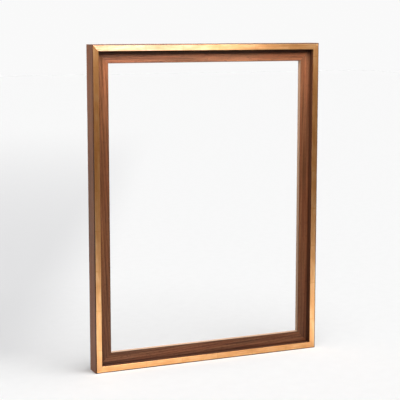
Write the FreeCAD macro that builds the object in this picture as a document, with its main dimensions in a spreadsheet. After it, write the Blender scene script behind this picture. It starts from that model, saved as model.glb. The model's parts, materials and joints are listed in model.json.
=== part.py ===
import FreeCAD, Part
import math
import os
import Sketcher
from FreeCAD import Placement, Rotation, Vector

# Floating frame for a stretched canvas or panel. It stands on its bottom edge, +Z up, its face
# towards -Y. The origin is at the middle of its footprint, on the surface it stands on.
#
# Each moulding is drawn as if it were the bottom one: X along its length, Y from its face to
# its back, Z from the outside of the frame inwards. Its Placement turns it to its own side.

doc = FreeCAD.newDocument("FloatingFrame")

SIZES = {
    # the picture that the frame takes, and the shadow gap left around it
    "art_width": 457.0,
    "art_height": 610.0,
    "float_gap": 7.5,
    # section of the walnut moulding
    "lip_width": 13.0,
    "wall_depth": 35.0,
    "recess_depth": 12.5,
    "ledge_width": 24.0,
    "ledge_thick": 9.5,
    "arris_round": 1.5,
    "edge_round": 0.8,
    # gilt strip let into the face of the lip
    "gilt_margin": 1.8,
    "gilt_thick": 1.5,
    "gilt_round": 0.6,
    # V-nails driven into the mitres from behind
    "nail_leg": 5.5,
    "nail_thick": 0.6,
    "wall_nail_apex": 9.5,
    "wall_nail_height": 15.0,
    "ledge_nail_apex": 28.0,
    "ledge_nail_height": 7.0,
    # D-ring hangers on the back of the side ledges
    "hanger_drop": 195.0,
    "strap_width": 10.0,
    "strap_length": 44.0,
    "strap_thick": 2.0,
    "strap_end_round": 4.0,
    "eye_radius": 2.4,
    "eye_bore": 1.38,
    "wire_radius": 1.3,
    "ring_half_width": 8.3,
    "ring_corner": 3.0,
    "ring_leg_end": 6.0,
    "ring_tilt": 4.5,
    # screws that hold the straps
    "screw_first": 22.0,
    "screw_pitch": 14.0,
    "screw_hole": 2.0,
    "pilot_radius": 1.55,
    "shank_radius": 1.5,
    "screw_length": 9.5,
    "screw_tip": 2.0,
    "head_radius": 3.5,
    "head_rim": 0.9,
    "head_height": 2.2,
    "cross_length": 3.8,
    "cross_width": 1.0,
    "cross_depth": 1.2,
    # pads that keep the frame off the wall
    "bumper_radius": 5.0,
    "bumper_thick": 2.0,
    "bumper_round": 0.7,
    "bumper_inset": 20.0,
}

sheet = doc.addObject("Spreadsheet::Sheet", "Sizes")
for row, (alias, size) in enumerate(SIZES.items(), start=1):
    sheet.set(f"A{row}", alias.replace("_", " "))
    sheet.set(f"B{row}", str(size))
    sheet.setAlias(f"B{row}", alias)
doc.recompute()


def cell(alias):
    """The name of a sheet cell, for use inside an expression."""
    return f"Sizes.{alias}"


def number(expression):
    """The value that an expression has now, for a first drawing of what it then drives."""
    value = sheet.evalExpression(expression)
    return float(getattr(value, "Value", value))


# Sizes that follow from the cells.
RAIL_INNER = f"({cell('lip_width')} + {cell('ledge_width')})"
LEDGE_BACK = f"({cell('recess_depth')} + {cell('ledge_thick')})"
BORDER = f"(2 * ({cell('float_gap')} + {cell('lip_width')}))"
FRAME_WIDTH = f"({cell('art_width')} + {BORDER})"
FRAME_HEIGHT = f"({cell('art_height')} + {BORDER})"
FRONT = f"(-({cell('wall_depth')} + {cell('bumper_thick')}) / 2)"
HANGER_X = f"({FRAME_WIDTH} / 2 - {cell('lip_width')} - {cell('ledge_width')} / 2)"
HANGER_Z = f"({FRAME_HEIGHT} - {cell('hanger_drop')})"
HANGER_WOOD = f"({FRONT} + {LEDGE_BACK})"
HANGER_AXIS = f"({HANGER_WOOD} + {cell('eye_radius')})"


# ---------------------------------------------------------------- drawing and feature helpers


def new_body(name):
    body = doc.addObject("PartDesign::Body", name)
    body.Label = name
    return body


def new_sketch(body, name, role, offset=None):
    """A sketch on one of the body's origin planes, moved along its normal by an expression."""
    sketch = body.newObject("Sketcher::SketchObject", f"{body.Name}_{name}")
    plane = next(item for item in body.Origin.OriginFeatures if item.Role == role)
    sketch.AttachmentSupport = [(plane, "")]
    sketch.MapMode = "FlatFace"
    if offset:
        sketch.setExpression("AttachmentOffset.Base.z", offset)
    return sketch


def pin(sketch, kind, geometry, point, expression):
    """Holds one point of a sketch at a distance from the sketch's origin, along X or Y."""
    rule = Sketcher.Constraint(kind, -1, 1, geometry, point, number(expression))
    sketch.setExpression(f"Constraints[{sketch.addConstraint(rule)}]", expression)


def draw_loop(sketch, points, arcs=None):
    """A closed outline through points given as pairs of expressions. arcs maps the number of a
    side to its centre, and True where it turns anticlockwise."""
    arcs = arcs or {}
    spots = [Vector(number(x), number(y), 0) for x, y in points]
    sides = []
    for i, start in enumerate(spots):
        end = spots[(i + 1) % len(spots)]
        if i not in arcs:
            sides.append((sketch.addGeometry(Part.LineSegment(start, end)), 1, 2))
            continue
        (centre_x, centre_y), anticlockwise = arcs[i]
        centre = Vector(number(centre_x), number(centre_y), 0)
        circle = Part.Circle(centre, Vector(0, 0, 1), centre.distanceToPoint(start))
        first, last = (start, end) if anticlockwise else (end, start)
        angles = [math.atan2(spot.y - centre.y, spot.x - centre.x) for spot in (first, last)]
        arc = sketch.addGeometry(Part.ArcOfCircle(circle, *angles))
        sides.append((arc, 1, 2) if anticlockwise else (arc, 2, 1))
        pin(sketch, "DistanceY", arc, 3, centre_y)
    for i, (side, start_end, last_end) in enumerate(sides):
        following, next_start, _ = sides[(i + 1) % len(sides)]
        sketch.addConstraint(
            Sketcher.Constraint("Coincident", side, last_end, following, next_start)
        )
        pin(sketch, "DistanceX", side, start_end, points[i][0])
        pin(sketch, "DistanceY", side, start_end, points[i][1])


def draw_circle(sketch, x, y, radius):
    centre = Vector(number(x), number(y), 0)
    circle = sketch.addGeometry(Part.Circle(centre, Vector(0, 0, 1), number(radius)))
    pin(sketch, "DistanceX", circle, 3, x)
    pin(sketch, "DistanceY", circle, 3, y)
    rule = sketch.addConstraint(Sketcher.Constraint("Radius", circle, number(radius)))
    sketch.setExpression(f"Constraints[{rule}]", radius)


def pad(body, name, sketch, length, centred=False):
    feature = body.newObject("PartDesign::Pad", f"{body.Name}_{name}")
    feature.Profile = sketch
    feature.SideType = "Symmetric" if centred else "One side"
    feature.setExpression("Length", length)
    doc.recompute()
    return feature


def pocket(body, name, sketch, length):
    """Cuts against the sketch's normal, and stops the build where it takes nothing away."""
    before = body.Shape.Volume
    feature = body.newObject("PartDesign::Pocket", f"{body.Name}_{name}")
    feature.Profile = sketch
    feature.setExpression("Length", length)
    doc.recompute()
    if body.Shape.Volume > before - 1e-3:
        raise RuntimeError(f"{feature.Name} cuts nothing")
    return feature


def fillet(body, name, radius, wanted):
    """Rounds every edge of the body that the test `wanted` accepts."""
    base = body.Tip
    edges = [f"Edge{i}" for i, edge in enumerate(base.Shape.Edges, start=1) if wanted(edge)]
    if not edges:
        raise RuntimeError(f"{body.Name} has no edge for {name}")
    feature = body.newObject("PartDesign::Fillet", f"{body.Name}_{name}")
    feature.Base = (base, edges)
    feature.setExpression("Radius", radius)
    doc.recompute()
    return feature


def long_edge_at(*places):
    """A test for the straight edges along X that lie at one of these (y, z) places."""
    spots = [(number(y), number(z)) for y, z in places]

    def wanted(edge):
        start, end = (vertex.Point for vertex in (edge.Vertexes[0], edge.Vertexes[-1]))
        along_x = math.hypot(end.y - start.y, end.z - start.z) < 1e-6
        return along_x and any(math.hypot(start.y - y, start.z - z) < 1e-4 for y, z in spots)

    return wanted


def place(item, x="0", y="0", z="0", axis=Vector(0, 1, 0), angle="0"):
    """Binds an object's Placement to expressions, turned about a fixed axis."""
    item.Placement = Placement(Vector(), Rotation(axis, number(angle)))
    for name, expression in (("x", x), ("y", y), ("z", z)):
        item.setExpression(f"Placement.Base.{name}", expression)
    if angle != "0":
        item.setExpression("Placement.Rotation.Angle", angle)


# ---------------------------------------------------------------- walnut moulding and gilt strip

# side: (length, x, z, turn about Y in degrees) of each moulding's own frame
SIDES = {
    "bottom": (FRAME_WIDTH, "0", "0", "0"),
    "top": (FRAME_WIDTH, "0", FRAME_HEIGHT, "180"),
    "left": (FRAME_HEIGHT, f"-{FRAME_WIDTH} / 2", f"{FRAME_HEIGHT} / 2", "90"),
    "right": (FRAME_HEIGHT, f"{FRAME_WIDTH} / 2", f"{FRAME_HEIGHT} / 2", "-90"),
}


def cut_mitres(body, length):
    """Saws both ends off at 45 degrees, so that the outer side keeps the full length."""
    sketch = new_sketch(body, "mitre_lines", "XZ_Plane")
    reach = f"({RAIL_INNER} + 1)"
    for sign in ("", "-"):
        tip = f"({length} / 2 + 1)"
        heel = f"({length} / 2 - {reach})"
        draw_loop(
            sketch,
            [(f"{sign}{tip}", "-1"), (f"{sign}{tip}", reach), (f"{sign}{heel}", reach)],
        )
    pocket(body, "mitres", sketch, cell("wall_depth"))


def nail_outline(sketch, x, z, x_sign="", z_sign=""):
    """The V of a corner nail seen from behind: its apex at x, z and one leg along each rail."""
    leg = cell("nail_leg")
    half = f"{cell('nail_thick')} / 2"

    def at(dx, dz):
        return f"{x} + {x_sign}({dx})", f"{z} + {z_sign}({dz})"

    draw_loop(
        sketch,
        [
            at(half, half),
            at(f"-{leg}", half),
            at(f"-{leg}", f"-{half}"),
            at(f"-{half}", f"-{half}"),
            at(f"-{half}", f"-{leg}"),
            at(half, f"-{leg}"),
        ],
    )


def cut_nail_slots(body, length):
    """The slots that the two nails of each corner press into the rail, from behind."""
    for part, back in (("wall", cell("wall_depth")), ("ledge", LEDGE_BACK)):
        apex = cell(f"{part}_nail_apex")
        height = cell(f"{part}_nail_height")
        sketch = new_sketch(body, f"{part}_nail_lines", "XZ_Plane", f"{height} - {back}")
        nail_outline(sketch, f"(-{length} / 2 + {apex})", apex)
        nail_outline(sketch, f"({length} / 2 - {apex})", apex, x_sign="-")
        pocket(body, f"{part}_nail_slots", sketch, height)


def drill_pilots(body, turn):
    """Two pilot holes for the hanger's screws, in the back of a side rail's ledge."""
    depth = f"({cell('screw_length')} - {cell('strap_thick')})"
    sketch = new_sketch(body, "pilot_centres", "XZ_Plane", f"{depth} - {LEDGE_BACK}")
    up = "-" if turn == "90" else ""
    for screw in range(2):
        drop = f"({cell('screw_first')} + {screw} * {cell('screw_pitch')})"
        along = f"{up}({HANGER_Z} - {drop} - {FRAME_HEIGHT} / 2)"
        middle = f"({cell('lip_width')} + {cell('ledge_width')} / 2)"
        draw_circle(sketch, along, middle, cell("pilot_radius"))
    pocket(body, "pilot_holes", sketch, depth)


def make_rail(side):
    """One length of walnut: lip and outer wall in one, with the ledge that takes the picture."""
    length, x, z, turn = SIDES[side]
    body = new_body(f"rail_{side}")
    lip, depth = cell("lip_width"), cell("wall_depth")
    recess, inner = cell("recess_depth"), RAIL_INNER
    sketch = new_sketch(body, "section", "YZ_Plane")
    draw_loop(
        sketch,
        [
            ("0", "0"),
            ("0", cell("gilt_margin")),
            (cell("gilt_thick"), cell("gilt_margin")),
            (cell("gilt_thick"), lip),
            (recess, lip),
            (recess, inner),
            (LEDGE_BACK, inner),
            (LEDGE_BACK, lip),
            (depth, lip),
            (depth, "0"),
        ],
    )
    pad(body, "stick", sketch, length, centred=True)
    fillet(body, "front_arris", cell("arris_round"), long_edge_at(("0", "0")))
    eased = long_edge_at((depth, "0"), (depth, lip), (recess, inner), (LEDGE_BACK, inner))
    fillet(body, "eased_edges", cell("edge_round"), eased)
    cut_mitres(body, length)
    cut_nail_slots(body, length)
    if side in ("left", "right"):
        drill_pilots(body, turn)
    place(body, x=x, y=FRONT, z=z, angle=turn)
    return body


def make_gilt_strip(side):
    """The gilt strip that lies in the rebate on the face of the lip, mitred with its rail."""
    length, x, z, turn = SIDES[side]
    body = new_body(f"gilt_face_{side}")
    outer, inner, thick = cell("gilt_margin"), cell("lip_width"), cell("gilt_thick")
    sketch = new_sketch(body, "section", "YZ_Plane")
    draw_loop(sketch, [("0", outer), ("0", inner), (thick, inner), (thick, outer)])
    pad(body, "strip", sketch, length, centred=True)
    fillet(body, "inner_arris", cell("gilt_round"), long_edge_at(("0", inner)))
    cut_mitres(body, length)
    place(body, x=x, y=FRONT, z=z, angle=turn)
    return body


def make_corner_nails(end, side):
    """The wall nail and the ledge nail of one corner, whose legs point to its outer corner."""
    nails = []
    sign_x = "" if side == "right" else "-"
    for part, back in (("wall", cell("wall_depth")), ("ledge", LEDGE_BACK)):
        apex = cell(f"{part}_nail_apex")
        height = cell(f"{part}_nail_height")
        body = new_body(f"{part}_nail_{end}_{side}")
        sketch = new_sketch(body, "outline", "XZ_Plane", f"-({FRONT} + {back})")
        x = f"{sign_x}({FRAME_WIDTH} / 2 - {apex})"
        z = f"({FRAME_HEIGHT} - {apex})" if end == "top" else apex
        nail_outline(sketch, x, z, "-" if side == "right" else "", "-" if end == "top" else "")
        pad(body, "strip", sketch, height)
        nails.append(body)
    return group(f"corner_nails_{end}_{side}", nails)


def group(name, members):
    """Like fasteners that share a node, as separate solids."""
    item = doc.addObject("Part::Compound", name)
    item.Label = name
    item.Links = members
    doc.recompute()
    return item


# ---------------------------------------------------------------- D-ring hangers and their screws

# Each piece of a hanger is drawn about the axis of its ring: X along the bar, Y away from the
# wood, Z up.


def make_strap(side, x):
    """Sheet metal folded double round the bar of the ring, with two screw holes."""
    body = new_body(f"hanger_strap_{side}")
    wood = f"(-{cell('eye_radius')})"
    outside = f"({wood} + {cell('strap_thick')})"
    end = f"(-{cell('strap_length')})"
    plate = new_sketch(body, "plate_side", "YZ_Plane")
    draw_loop(plate, [(wood, "0"), (wood, end), (outside, end), (outside, "0")])
    pad(body, "plate", plate, cell("strap_width"), centred=True)
    eye = new_sketch(body, "eye_side", "YZ_Plane")
    draw_circle(eye, "0", "0", cell("eye_radius"))
    pad(body, "eye", eye, cell("strap_width"), centred=True)
    bore = new_sketch(body, "bore_side", "YZ_Plane", f"{cell('strap_width')} / 2")
    draw_circle(bore, "0", "0", cell("eye_bore"))
    pocket(body, "bore", bore, cell("strap_width"))
    bottom = number(end)

    def is_end_corner(edge):
        start, last = (vertex.Point for vertex in (edge.Vertexes[0], edge.Vertexes[-1]))
        across = abs(last.y - start.y) > 1e-3 and abs(last.x - start.x) < 1e-6
        return across and abs(start.z - bottom) < 1e-6 and abs(last.z - bottom) < 1e-6

    fillet(body, "round_end", cell("strap_end_round"), is_end_corner)
    holes = new_sketch(body, "hole_centres", "XZ_Plane", cell("eye_radius"))
    for screw in range(2):
        drop = f"-({cell('screw_first')} + {screw} * {cell('screw_pitch')})"
        draw_circle(holes, "0", drop, cell("screw_hole"))
    pocket(body, "holes", holes, cell("strap_thick"))
    place(body, x=x, y=HANGER_AXIS, z=HANGER_Z)
    return body


def make_ring(side, x):
    """The D-shaped ring of round wire: a straight bar in the eye, two legs and a half circle."""
    body = new_body(f"hanger_ring_{side}")
    width, corner = cell("ring_half_width"), cell("ring_corner")
    straight = f"({width} - {corner})"
    leg_end = f"(-{cell('ring_leg_end')})"
    path = new_sketch(body, "path", "XZ_Plane")
    draw_loop(
        path,
        [
            ("0", "0"),
            (straight, "0"),
            (width, f"-{corner}"),
            (width, leg_end),
            (f"-{width}", leg_end),
            (f"-{width}", f"-{corner}"),
            (f"-{straight}", "0"),
        ],
        arcs={
            1: ((straight, f"-{corner}"), False),
            3: (("0", leg_end), False),
            5: ((f"-{straight}", f"-{corner}"), False),
        },
    )
    wire = new_sketch(body, "wire", "YZ_Plane")
    draw_circle(wire, "0", "0", cell("wire_radius"))
    sweep = body.newObject("PartDesign::AdditivePipe", f"{body.Name}_bent_wire")
    sweep.Profile = wire
    sweep.Spine = path
    doc.recompute()
    place(
        body,
        x=x,
        y=HANGER_AXIS,
        z=HANGER_Z,
        axis=Vector(1, 0, 0),
        angle=cell("ring_tilt"),
    )
    return body


def make_screw(name, x, z):
    """A pan-head wood screw with a cross recess, its axis along +Y out of the wood."""
    body = new_body(name)
    shank, head = cell("shank_radius"), cell("head_radius")
    length, tip = cell("screw_length"), cell("screw_tip")
    rim, height = cell("head_rim"), cell("head_height")
    rise = f"({height} - {rim})"
    dome = f"(({head} * {head} + {rise} * {rise}) / (2 * {rise}))"
    profile = new_sketch(body, "profile", "XZ_Plane")
    draw_loop(
        profile,
        [
            ("0", f"-{length}"),
            (shank, f"-({length} - {tip})"),
            (shank, "0"),
            (head, "0"),
            (head, rim),
            ("0", height),
        ],
        arcs={4: (("0", f"({height} - {dome})"), True)},
    )
    turned = body.newObject("PartDesign::Revolution", f"{name}_turned")
    turned.Profile = profile
    turned.ReferenceAxis = (profile, ["V_Axis"])
    doc.recompute()
    cross = new_sketch(body, "cross_lines", "XY_Plane", height)
    long, half = f"{cell('cross_length')} / 2", f"{cell('cross_width')} / 2"
    arm = [(half, f"-{half}"), (long, f"-{half}"), (long, half)]
    points = []
    for _ in range(4):
        points += arm
        arm = [(f"-({y})", x_) for x_, y in arm]
    draw_loop(cross, points)
    pocket(body, "cross_recess", cross, cell("cross_depth"))
    seat = f"({HANGER_WOOD} + {cell('strap_thick')})"
    place(body, x=x, y=seat, z=z, axis=Vector(-1, 0, 0), angle="90")
    return body


def make_screws(side, x):
    screws = []
    for number_, drop in (("upper", "0"), ("lower", cell("screw_pitch"))):
        z = f"({HANGER_Z} - {cell('screw_first')} - {drop})"
        screws.append(make_screw(f"{number_}_screw_{side}", x, z))
    return group(f"hanger_screws_{side}", screws)


# ---------------------------------------------------------------- wall bumpers


def make_bumper(side, x):
    """A soft stick-on disc on the back of the bottom rail, near the corner."""
    body = new_body(f"wall_bumper_{side}")
    sketch = new_sketch(body, "outline", "XZ_Plane")
    draw_circle(sketch, "0", "0", cell("bumper_radius"))
    pad(body, "disc", sketch, cell("bumper_thick"))
    back = -number(cell("bumper_thick"))
    fillet(
        body,
        "soft_edge",
        cell("bumper_round"),
        lambda edge: len(edge.Vertexes) == 1 and abs(edge.Vertexes[0].Point.y - back) < 1e-6,
    )
    place(
        body,
        x=x,
        y=f"{FRONT} + {cell('wall_depth')}",
        z=f"{cell('lip_width')} / 2",
        axis=Vector(1, 0, 0),
        angle="180",
    )
    return body


# ---------------------------------------------------------------- the whole frame

parts = [make_rail(side) for side in SIDES]
parts += [make_gilt_strip(side) for side in SIDES]
parts += [make_corner_nails(end, side) for end in ("top", "bottom") for side in ("left", "right")]
for side, sign in (("left", "-"), ("right", "")):
    parts.append(make_strap(side, f"{sign}{HANGER_X}"))
    parts.append(make_ring(side, f"{sign}{HANGER_X}"))
    parts.append(make_screws(side, f"{sign}{HANGER_X}"))
    parts.append(make_bumper(side, f"{sign}({FRAME_WIDTH} / 2 - {cell('bumper_inset')})"))
doc.recompute()

for item in doc.Objects:
    if "Invalid" in item.State or "Error" in item.State:
        raise RuntimeError(f"{item.Name} did not build: {item.State}")
for item in parts:
    if item.Shape.isNull() or not item.Shape.isValid():
        raise RuntimeError(f"{item.Label} has no valid shape")

os.makedirs("parts", exist_ok=True)
for item in parts:
    item.Shape.exportStep(f"parts/{item.Label}.step")
    box = item.Shape.BoundBox
    print(
        f"{item.Label:28s} {len(item.Shape.Solids)} solids  {item.Shape.Volume:10.1f} mm3"
        f"  x {box.XMin:8.2f} {box.XMax:8.2f}  y {box.YMin:7.2f} {box.YMax:7.2f}"
        f"  z {box.ZMin:7.2f} {box.ZMax:7.2f}"
    )
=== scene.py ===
import json
import math
import bmesh
import bpy
from mathutils import Matrix, Vector


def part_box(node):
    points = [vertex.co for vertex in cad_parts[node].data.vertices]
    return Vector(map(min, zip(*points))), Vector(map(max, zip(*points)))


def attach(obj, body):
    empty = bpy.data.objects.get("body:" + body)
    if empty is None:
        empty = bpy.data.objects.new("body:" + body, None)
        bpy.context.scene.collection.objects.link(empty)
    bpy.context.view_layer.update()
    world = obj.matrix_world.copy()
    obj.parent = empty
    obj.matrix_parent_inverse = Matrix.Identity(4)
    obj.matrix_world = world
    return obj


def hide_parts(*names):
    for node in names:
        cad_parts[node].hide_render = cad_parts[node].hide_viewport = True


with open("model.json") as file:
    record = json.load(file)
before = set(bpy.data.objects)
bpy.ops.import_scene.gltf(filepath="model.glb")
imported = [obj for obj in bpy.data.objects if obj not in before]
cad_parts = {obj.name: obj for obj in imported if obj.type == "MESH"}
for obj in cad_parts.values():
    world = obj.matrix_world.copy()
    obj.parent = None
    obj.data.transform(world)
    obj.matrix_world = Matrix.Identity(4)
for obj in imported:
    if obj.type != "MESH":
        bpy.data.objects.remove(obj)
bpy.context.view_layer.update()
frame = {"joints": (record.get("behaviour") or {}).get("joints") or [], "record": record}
MM = 0.001

# ---------------------------------------------------------------- walnut moulding
# Four sticks of solid walnut, run through the spindle moulder in one piece: the lip and outer
# wall, and the ledge behind them that the picture is screwed to. They are sawn at 45 degrees,
# glued, and hand-sanded, so every long arris is a little round.

rail_low, rail_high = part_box("rail_left")
top_low, top_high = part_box("rail_top")
slip_low, slip_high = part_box("gilt_face_left")
strap_low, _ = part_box("hanger_strap_left")
seat = next(m for m in frame["record"]["mounts"] if m["name"] == "artwork_seat")

frame_width = top_high.x - top_low.x
frame_height = rail_high.z - rail_low.z
face_y = rail_low.y
wall_depth = rail_high.y - face_y
lip_width = slip_high.x - rail_low.x
rail_width = rail_high.x - rail_low.x
gilt_margin = slip_low.x - rail_low.x
gilt_thick = slip_high.y - slip_low.y
recess_depth = seat["pos_m"][1] - face_y
ledge_back = strap_low.y - face_y

# side: its outside length, where its middle lies, and its turn about Y. In a stick's own frame
# X runs along it, Y from the face to the back, and Z from the outside of the frame inwards.
SIDES = {
    "bottom": (frame_width, (0, 0), 0),
    "top": (frame_width, (0, frame_height), 180),
    "left": (frame_height, (-frame_width / 2, frame_height / 2), 90),
    "right": (frame_height, (frame_width / 2, frame_height / 2), -90),
}


def stick_place(side):
    """The matrix that takes a stick's own frame to its place in the frame."""
    _, (x, z), turn = SIDES[side]
    return Matrix.Translation((x, face_y, z)) @ Matrix.Rotation(math.radians(turn), 4, "Y")


def rounded_outline(corners, steps=6, guard=1.2 * MM):
    """An outline of right-angled corners, each (depth, inward, radius), with its corners round
    and a point on the flat beside each, which keeps the shading of the flats true."""
    points = []
    for i, (depth, inward, radius) in enumerate(corners):
        here = Vector((depth, inward))
        before = Vector(corners[i - 1][:2]) - here
        after = Vector(corners[(i + 1) % len(corners)][:2]) - here
        u, v = before.normalized(), after.normalized()
        if before.length > 4 * guard:
            points.append(here + u * (radius + guard))
        for step in range(steps + 1):
            angle = math.pi / 2 * step / steps
            out = v * math.cos(angle) + u * math.sin(angle)
            points.append(here + (u + v) * radius - radius * out)
        if after.length > 4 * guard:
            points.append(here + v * (radius + guard))
    return points


def inset(points, amount):
    """The outline moved inwards by a small amount, point for point."""
    moved = []
    area = sum(a.x * b.y - b.x * a.y for a, b in zip(points, points[1:] + points[:1]))
    turn = 1 if area > 0 else -1
    for i, here in enumerate(points):
        along = points[(i + 1) % len(points)] - points[i - 1]
        moved.append(here + turn * amount * Vector((-along.y, along.x)).normalized())
    return moved


def placed_piece(name, work):
    """The piece that a finished mesh makes, put in the scene."""
    mesh = bpy.data.meshes.new(name)
    work.to_mesh(mesh)
    work.free()
    piece = bpy.data.objects.new(name, mesh)
    bpy.context.scene.collection.objects.link(piece)
    return piece


def mitred_stick(name, outline, side, ease):
    """A stick with this section, mitred at both ends, its mitre edges eased by a hair so that
    the closed joint shows as a fine line."""
    length = SIDES[side][0]
    work = bmesh.new()
    rings = []
    for end, eased in ((-1, True), (-1, False), (1, False), (1, True)):
        back = 0 if eased else ease * math.sqrt(2)
        ring = []
        for point in inset(outline, ease) if eased else outline:
            along = end * (length / 2 - point.y - back)
            ring.append(work.verts.new((along, point.x, point.y)))
        rings.append(ring)
    for first, second in zip(rings, rings[1:]):
        for i in range(len(first)):
            j = (i + 1) % len(first)
            work.faces.new((first[i], first[j], second[j], second[i]))
    work.faces.new(rings[0])
    work.faces.new(reversed(rings[-1]))
    bmesh.ops.recalc_face_normals(work, faces=work.faces)
    bmesh.ops.transform(work, matrix=stick_place(side), verts=work.verts)
    return placed_piece(name, work)


def prism(outline, place, depth, taper=1.0):
    """A block: an outline in its own XY plane, pushed depth along its own Z, where it is taper
    times as large."""
    work = bmesh.new()
    ends = ((0, 1.0), (depth, taper))
    loops = [[work.verts.new((x * size, y * size, z)) for x, y in outline] for z, size in ends]
    for i in range(len(outline)):
        j = (i + 1) % len(outline)
        work.faces.new((loops[0][i], loops[0][j], loops[1][j], loops[1][i]))
    work.faces.new(loops[0])
    work.faces.new(reversed(loops[1]))
    bmesh.ops.transform(work, matrix=place, verts=work.verts)
    bmesh.ops.recalc_face_normals(work, faces=work.faces)
    return placed_piece("prism", work)


def settle(piece):
    """Replaces a piece's mesh by what its modifiers make of it."""
    bpy.context.view_layer.update()
    shaped = piece.evaluated_get(bpy.context.evaluated_depsgraph_get())
    made = bpy.data.meshes.new_from_object(shaped)
    piece.modifiers.clear()
    piece.data = made


def carve(piece, cutters, operation="DIFFERENCE"):
    """Takes each cutter out of a piece, or keeps what lies inside it, then throws it away."""
    for cutter in cutters:
        step = piece.modifiers.new("carve", "BOOLEAN")
        step.operation = operation
        step.solver = "EXACT"
        step.object = cutter
    settle(piece)
    for cutter in cutters:
        bpy.data.objects.remove(cutter)


def smooth(piece, angle=32):
    """Smooth shading that stays crisp at real edges and level on the flats."""
    piece.data.polygons.foreach_set("use_smooth", [True] * len(piece.data.polygons))
    piece.data.set_sharp_from_angle(angle=math.radians(angle))
    level = piece.modifiers.new("level", "WEIGHTED_NORMAL")
    level.keep_sharp = True


def lay_grain(piece, side, corners, shift):
    """Writes, at each vertex, where it lies in its own stick (profile) and in the plank that this
    was cut from (grain), whether it is on a rounded arris (arris), and the way across the face of
    the stick (across), for the materials."""
    to_stick = stick_place(side).inverted()
    smallest = 0.4 * MM
    slack = 1.02
    owns, places, rounds = [], [], []
    for vertex in piece.data.vertices:
        own = to_stick @ vertex.co
        near = any(
            math.hypot(own.y - depth, own.z - inward) < radius * slack
            for depth, inward, radius in corners
            if radius > smallest
        )
        owns.extend(own)
        places.extend(own + Vector(shift))
        rounds.append(1.0 if near else 0.0)
    piece.data.attributes.new("profile", "FLOAT_VECTOR", "POINT").data.foreach_set("vector", owns)
    piece.data.attributes.new("grain", "FLOAT_VECTOR", "POINT").data.foreach_set("vector", places)
    piece.data.attributes.new("arris", "FLOAT", "POINT").data.foreach_set("value", rounds)
    inwards = list(stick_place(side).to_3x3() @ Vector((0, 0, 1))) * len(rounds)
    piece.data.attributes.new("across", "FLOAT_VECTOR", "POINT").data.foreach_set("vector", inwards)


def linear(code):
    """An sRGB hex colour as the linear RGBA that shaders take."""
    parts = [int(code[i : i + 2], 16) / 255 for i in (1, 3, 5)]
    return (*(p / 12.92 if p <= 0.04045 else ((p + 0.055) / 1.055) ** 2.4 for p in parts), 1)


def add(tree, kind, sockets=None, stops=None, **settings):
    """A shader node with its settings. Each socket takes a value, or the output that feeds it;
    stops are the places and colours of a ramp."""
    made = tree.nodes.new(kind)
    for name, value in settings.items():
        setattr(made, name, value)
    for name, value in (sockets or {}).items():
        if isinstance(value, bpy.types.NodeSocket):
            tree.links.new(value, made.inputs[name])
        else:
            made.inputs[name].default_value = value
    if stops:
        for _ in stops[2:]:
            made.color_ramp.elements.new(0.5)
        for element, (place, colour) in zip(made.color_ramp.elements, stops):
            element.position = place
            element.color = linear(colour) if isinstance(colour, str) else (colour,) * 3 + (1,)
    return made


def new_material(name):
    """An empty material: its tree, and the Principled shader that it shows."""
    material = bpy.data.materials.new(name)
    material.use_nodes = True
    tree = material.node_tree
    tree.nodes.clear()
    shader = add(tree, "ShaderNodeBsdfPrincipled")
    add(tree, "ShaderNodeOutputMaterial", {"Surface": shader.outputs["BSDF"]})
    return material, tree, shader


def within(tree, *edges):
    """How far a point is inside all of some soft edges, from 0 to 1. Each edge is a value, and
    where it starts to count and counts in full."""
    inside = 1.0
    for value, none_at, full_at in edges:
        rise = add(
            tree,
            "ShaderNodeMapRange",
            {"Value": value, "From Min": none_at, "From Max": full_at},
            interpolation_type="SMOOTHSTEP",
        )
        inside = add(
            tree, "ShaderNodeMath", {0: inside, 1: rise.outputs["Result"]}, operation="MULTIPLY"
        ).outputs[0]
    return inside


def marks(length, width):
    """The scale of a pattern whose marks are this long and this wide, in millimetres."""
    return (1 / (length * MM), 1 / (width * MM), 1 / (width * MM))


# Oiled walnut. The rings of the tree show as long lines 3.4 mm apart that wander along the
# stick; between them the fibre is streaked brown and red-brown, with short dark pores. The oil
# leaves it satin, so pale surroundings veil its sides in grey where they are seen at a slant.
RING_SPACING = 3.4 * MM
walnut, tree, shader = new_material("oiled_walnut")
grain = add(tree, "ShaderNodeAttribute", attribute_name="grain").outputs["Vector"]
arris = add(tree, "ShaderNodeAttribute", attribute_name="arris").outputs["Fac"]
across = add(tree, "ShaderNodeAttribute", attribute_name="across").outputs["Vector"]
slow = add(tree, "ShaderNodeMapping", {"Vector": grain, "Scale": marks(250, 38.46)})
drift = add(tree, "ShaderNodeTexNoise", {"Vector": slow.outputs[0], "Scale": 1.0, "Detail": 2.0})
centred = add(
    tree,
    "ShaderNodeVectorMath",
    {0: drift.outputs["Color"], 1: (0.5, 0.5, 0.5)},
    operation="SUBTRACT",
)
swing = add(
    tree,
    "ShaderNodeVectorMath",
    {0: centred.outputs[0], 1: (0, 8 * MM, 8 * MM)},
    operation="MULTIPLY",
)
wandered = add(tree, "ShaderNodeVectorMath", {0: grain, 1: swing.outputs[0]}, operation="ADD")
tilted = add(
    tree,
    "ShaderNodeMapping",
    {"Vector": wandered.outputs[0], "Rotation": (0, math.radians(1.6), math.radians(-1.1))},
)
rings = add(
    tree,
    "ShaderNodeTexWave",
    {
        "Vector": tilted.outputs[0],
        "Scale": 2 * math.pi / (20 * RING_SPACING),
        "Distortion": 0.7,
        "Detail": 3.0,
        "Detail Scale": 0.6,
    },
    wave_type="RINGS",
    rings_direction="X",
    wave_profile="SAW",
)
ring_tone = add(
    tree,
    "ShaderNodeValToRGB",
    {"Fac": rings.outputs["Fac"]},
    stops=[(0.0, 0.62), (0.35, 0.53), (0.8, 0.36), (0.95, 0.16), (1.0, 0.5)],
)
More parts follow.
